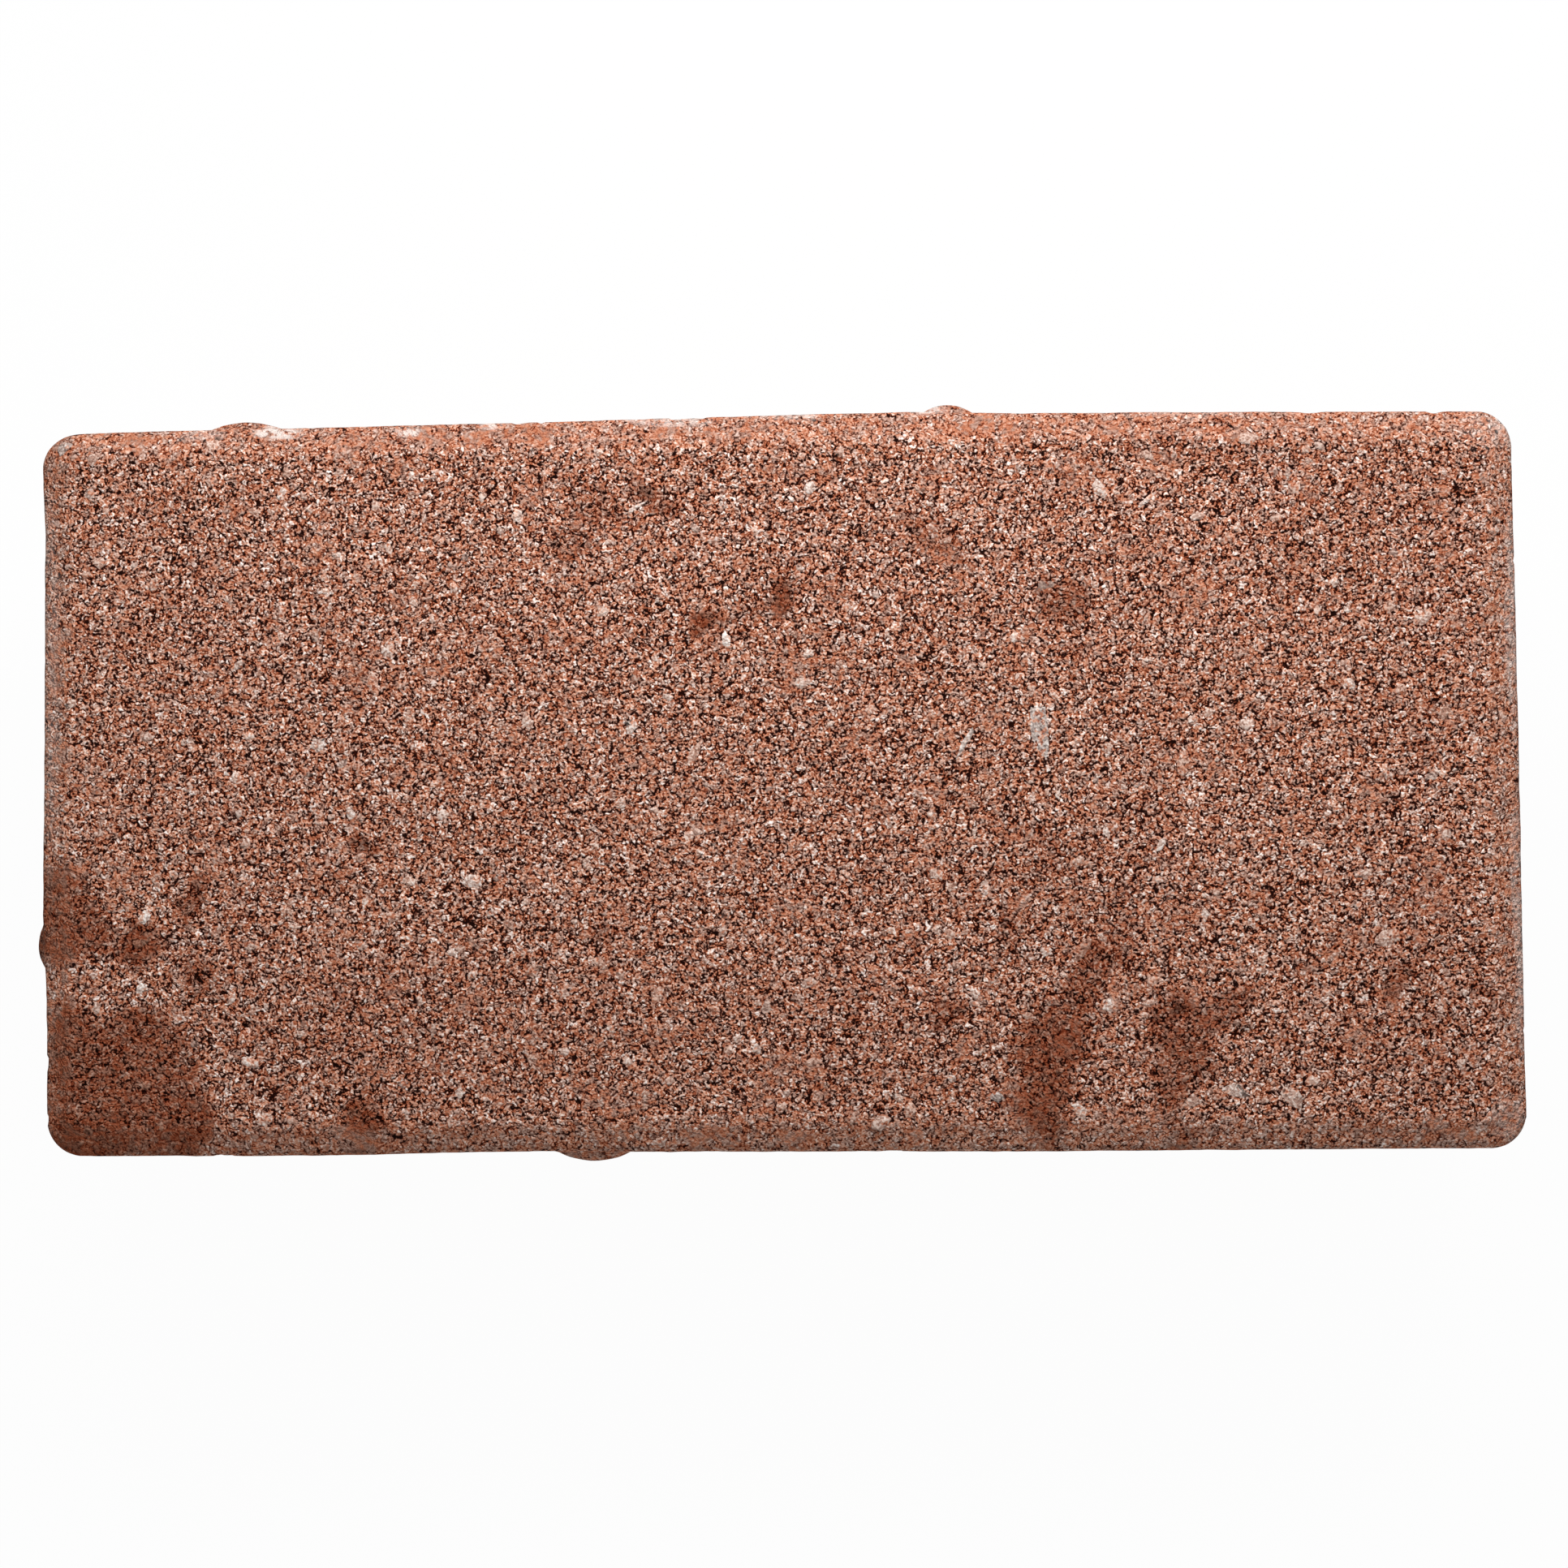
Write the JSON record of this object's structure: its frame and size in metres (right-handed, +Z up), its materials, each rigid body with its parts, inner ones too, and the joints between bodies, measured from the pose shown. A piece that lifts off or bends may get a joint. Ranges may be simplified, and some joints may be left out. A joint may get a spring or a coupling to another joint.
{
  "type": "concrete paving stone",
  "caption": "Rectangular red-brown concrete paving stone with rounded corners, a shallow chamfer round its wearing face and low upright spacer nibs on its walls.",
  "frame": {"origin": "middle of the block's bed face, with the spacer nibs not counted", "axes": "+X along the stone, +Y across it towards the wall with two nibs, +Z up from the bed face to the wearing face"},
  "size_m": [0.2003, 0.1032, 0.06],
  "materials": {
    "red_concrete": "rough, open-textured pressed concrete, coloured through, with exposed sand grains and small chips of aggregate"
  },
  "bodies": {
    "root": {"paving_stone": "red_concrete"}
  },
  "joints": []
}
